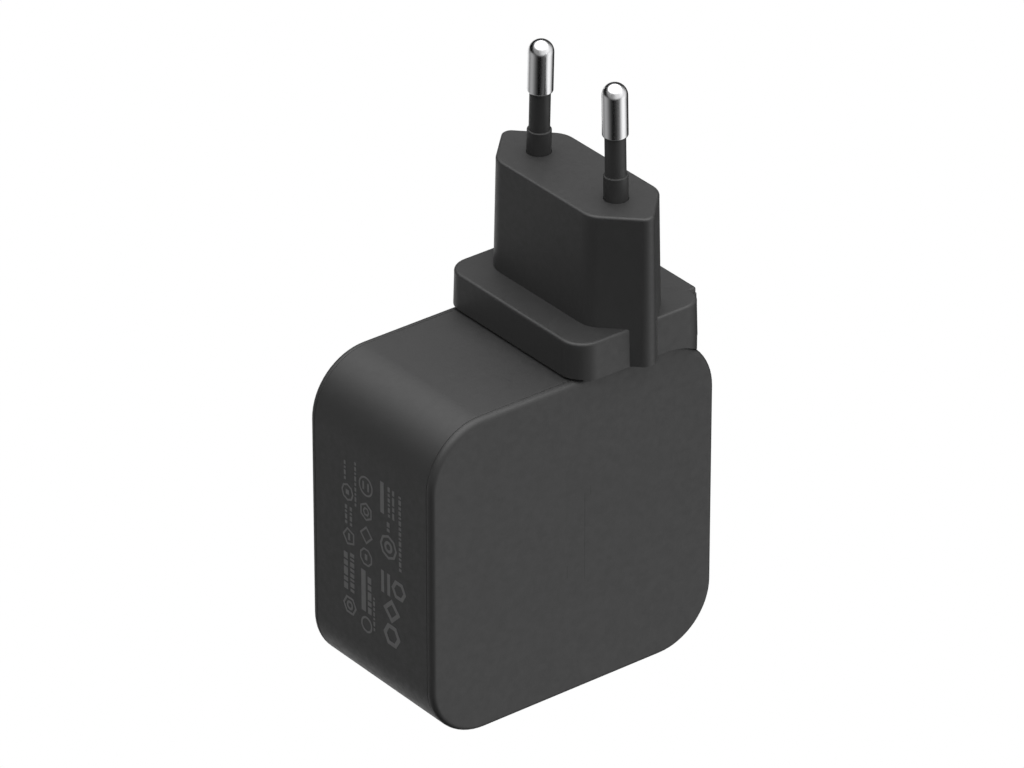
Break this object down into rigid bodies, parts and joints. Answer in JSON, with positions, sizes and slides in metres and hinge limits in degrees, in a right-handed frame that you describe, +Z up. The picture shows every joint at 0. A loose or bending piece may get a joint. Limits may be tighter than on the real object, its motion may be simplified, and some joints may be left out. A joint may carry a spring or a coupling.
{
  "type": "usb wall charger",
  "caption": "Compact matte-grey USB wall charger with a rounded square body and a clip-on European two-pin mains plug adapter on top.",
  "frame": {"origin": "centre of the bottom face, which holds the two sockets", "axes": "+X to the right along the broad front face, +Y to the back, +Z up along the mains pins"},
  "size_m": [0.054, 0.036, 0.098],
  "materials": {
    "shell": "fine matte texture",
    "shell_cover": "fine matte texture",
    "adapter_plastic": "fine matte texture",
    "black_plastic": "satin black",
    "chrome": "bright nickel plate",
    "brass": "satin",
    "steel": "satin",
    "aluminium": "satin",
    "board": "solder mask",
    "ferrite": "sintered",
    "tape": "yellow polyester tape",
    "copper": "enamelled copper wire",
    "capacitor_sleeve": "heat-shrink sleeve",
    "component_case": "epoxy case",
    "chip": "moulded epoxy",
    "film": "insulating sheet",
    "pad": "silicone pad"
  },
  "bodies": {
    "charger": {"front_cover": "shell_cover", "rear_cover": "shell_cover", "side_band": "shell", "port_bezel": "black_plastic", "usb_c_shell_left": "steel", "usb_c_shell_right": "steel", "usb_c_tongue_left": "black_plastic", "usb_c_tongue_right": "black_plastic", "dock_socket": "black_plastic", "mains_blade_front": "steel", "mains_blade_rear": "steel", "insulation_film_front": "film", "insulation_film_rear": "film", "heat_spreader_front": "aluminium", "heat_spreader_rear": "aluminium", "thermal_pad_front": "pad", "thermal_pad_rear": "pad", "main_board": "board", "port_board": "board", "board_header": "black_plastic", "transformer_core": "ferrite", "transformer_bobbin": "black_plastic", "transformer_winding": "tape", "bulk_capacitor_1": "capacitor_sleeve", "bulk_capacitor_2": "capacitor_sleeve", "bulk_capacitor_3": "capacitor_sleeve", "choke_core": "ferrite", "choke_winding_line": "copper", "choke_winding_neutral": "copper", "x_capacitor": "component_case", "fuse": "chip", "y_capacitor": "component_case", "bridge_rectifier": "chip", "power_switch": "chip", "output_capacitor_1": "aluminium", "output_capacitor_2": "aluminium", "output_inductor": "ferrite", "charge_controller": "chip"},
    "plug_adapter": {"adapter_shell": "adapter_plastic", "adapter_bottom_plate": "adapter_plastic", "pin_carrier": "black_plastic", "plug_pin_front": "chrome", "plug_pin_rear": "chrome", "pin_sleeve_front": "black_plastic", "pin_sleeve_rear": "black_plastic", "adapter_contact_front": "brass", "adapter_contact_rear": "brass", "latch_spring": "steel"},
    "release_tab": {"release_tab": "adapter_plastic"}
  },
  "joints": [
    {"name": "adapter_lift", "type": "slide", "parent": "charger", "child": "plug_adapter", "axis": [0, 0, 1], "range_m": [0, 0.02]},
    {"name": "tab_press", "type": "slide", "parent": "plug_adapter", "child": "release_tab", "axis": [-1, 0, 0], "range_m": [0, 0.0006], "stiffness_N_per_m": 1500, "deforming": ["latch_spring"]}
  ]
}
